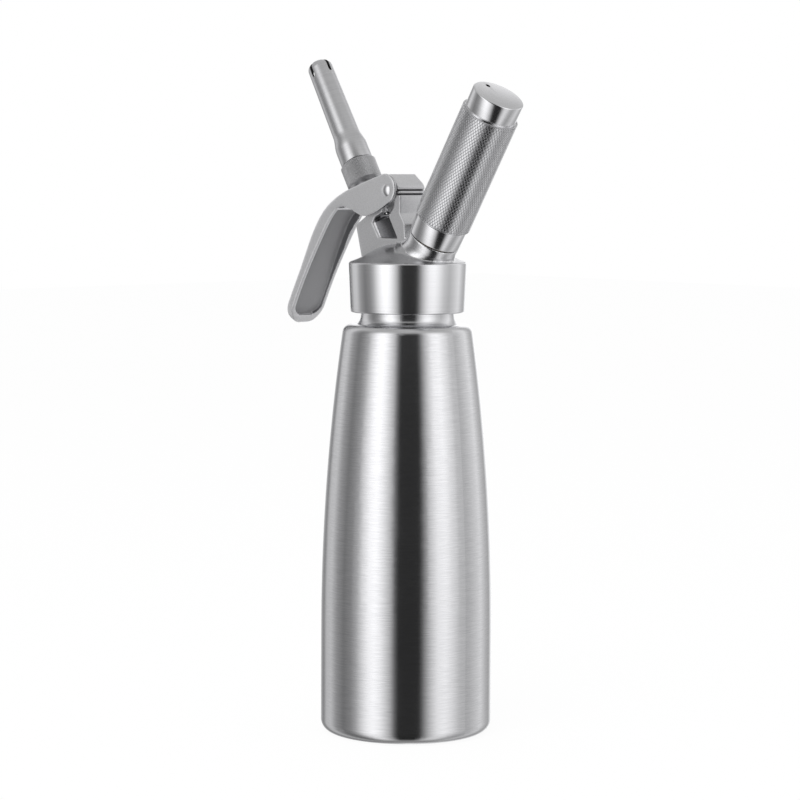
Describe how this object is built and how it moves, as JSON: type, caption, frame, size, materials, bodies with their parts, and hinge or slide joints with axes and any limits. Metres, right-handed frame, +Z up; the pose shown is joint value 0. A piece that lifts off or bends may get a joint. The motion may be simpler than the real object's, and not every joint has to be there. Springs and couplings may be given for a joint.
{
  "type": "whipped cream dispenser",
  "caption": "Tall brushed steel bottle with a screw-on head, a lever-worked valve with a decorating nozzle, and a knurled holder for a gas charger.",
  "frame": {"origin": "centre of the bottle's base, on the surface it stands on", "axes": "+Z up along the bottle's axis, the charger holder leans to +X, the nozzle and the lever to -X"},
  "size_m": [0.1524, 0.0832, 0.3279],
  "materials": {
    "brushed_bottle": "brushed round the bottle",
    "polished_ring": "polished",
    "satin_head": "polished skirt, satin cast tower",
    "gasket_rubber": "matte",
    "satin_lever": "satin cast",
    "polished_pin": "polished",
    "turned_steel": "turned",
    "bush_plastic": "matte",
    "spring_steel": "drawn wire",
    "satin_adapter": "satin, finely knurled",
    "polished_nozzle": "satin to polished",
    "port_brass": "turned",
    "knurled_holder": "polished bands, diamond knurl",
    "charger_steel": "zinc plated",
    "cap_foil": "thin foil"
  },
  "bodies": {
    "bottle": {"bottle": "brushed_bottle", "neck_ring": "polished_ring"},
    "head_gasket": {"head_gasket": "gasket_rubber"},
    "head": {"head_casting": "satin_head", "guide_bush": "bush_plastic", "spring_washer": "turned_steel", "return_spring": "spring_steel", "charger_port_stud": "port_brass", "piercing_pin": "turned_steel", "port_seal": "gasket_rubber", "check_valve_disc": "gasket_rubber"},
    "lever": {"lever": "satin_lever", "lever_pin": "polished_pin"},
    "valve": {"valve_stem": "turned_steel", "valve_seal": "gasket_rubber", "stem_o_ring": "gasket_rubber", "nozzle_adapter": "satin_adapter"},
    "nozzle_seal": {"nozzle_seal": "gasket_rubber"},
    "nozzle": {"decorating_nozzle": "polished_nozzle"},
    "gas_charger": {"gas_charger": "charger_steel", "charger_cap": "cap_foil"},
    "charger_holder": {"charger_holder": "knurled_holder"}
  },
  "joints": [
    {"name": "head_rise", "type": "slide", "parent": "bottle", "child": "head_gasket", "axis": [0, 0, 1], "range_m": [0, 0.01201]},
    {"name": "head_turn", "type": "hinge", "parent": "head_gasket", "child": "head", "pos_m": [0, 0, 0.205], "axis": [0, 0, 1], "range_deg": [0, 1080]},
    {"name": "lever_pivot", "type": "hinge", "parent": "head", "child": "lever", "pos_m": [-0.00432, 0, 0.26361], "axis": [0, -1, 0], "range_deg": [0, 10]},
    {"name": "valve_slide", "type": "slide", "parent": "head", "child": "valve", "axis": [0.5105, 0, -0.8599], "range_m": [0, 0.0038], "stiffness_N_per_m": 350, "springref_m": -0.004, "deforming": ["return_spring"]},
    {"name": "nozzle_rise", "type": "slide", "parent": "valve", "child": "nozzle_seal", "axis": [-0.5105, 0, 0.8599], "range_m": [0, 0.00751]},
    {"name": "nozzle_turn", "type": "hinge", "parent": "nozzle_seal", "child": "nozzle", "pos_m": [0, 0, 0.215], "axis": [-0.5105, 0, 0.8599], "range_deg": [0, 1800]},
    {"name": "holder_rise", "type": "slide", "parent": "head", "child": "gas_charger", "axis": [0.5329, 0, 0.8462], "range_m": [0, 0.01201]},
    {"name": "holder_turn", "type": "hinge", "parent": "gas_charger", "child": "charger_holder", "pos_m": [0.0189, 0, 0.241], "axis": [0.5329, 0, 0.8462], "range_deg": [0, 2160]}
  ],
  "couplings": [
    {"joint": "head_rise", "follows": "head_turn", "m_per_rad": 0.00063662},
    {"joint": "valve_slide", "follows": "lever_pivot", "m_per_rad": 0.02177},
    {"joint": "nozzle_rise", "follows": "nozzle_turn", "m_per_rad": 0.00023873},
    {"joint": "holder_rise", "follows": "holder_turn", "m_per_rad": 0.00031831}
  ]
}
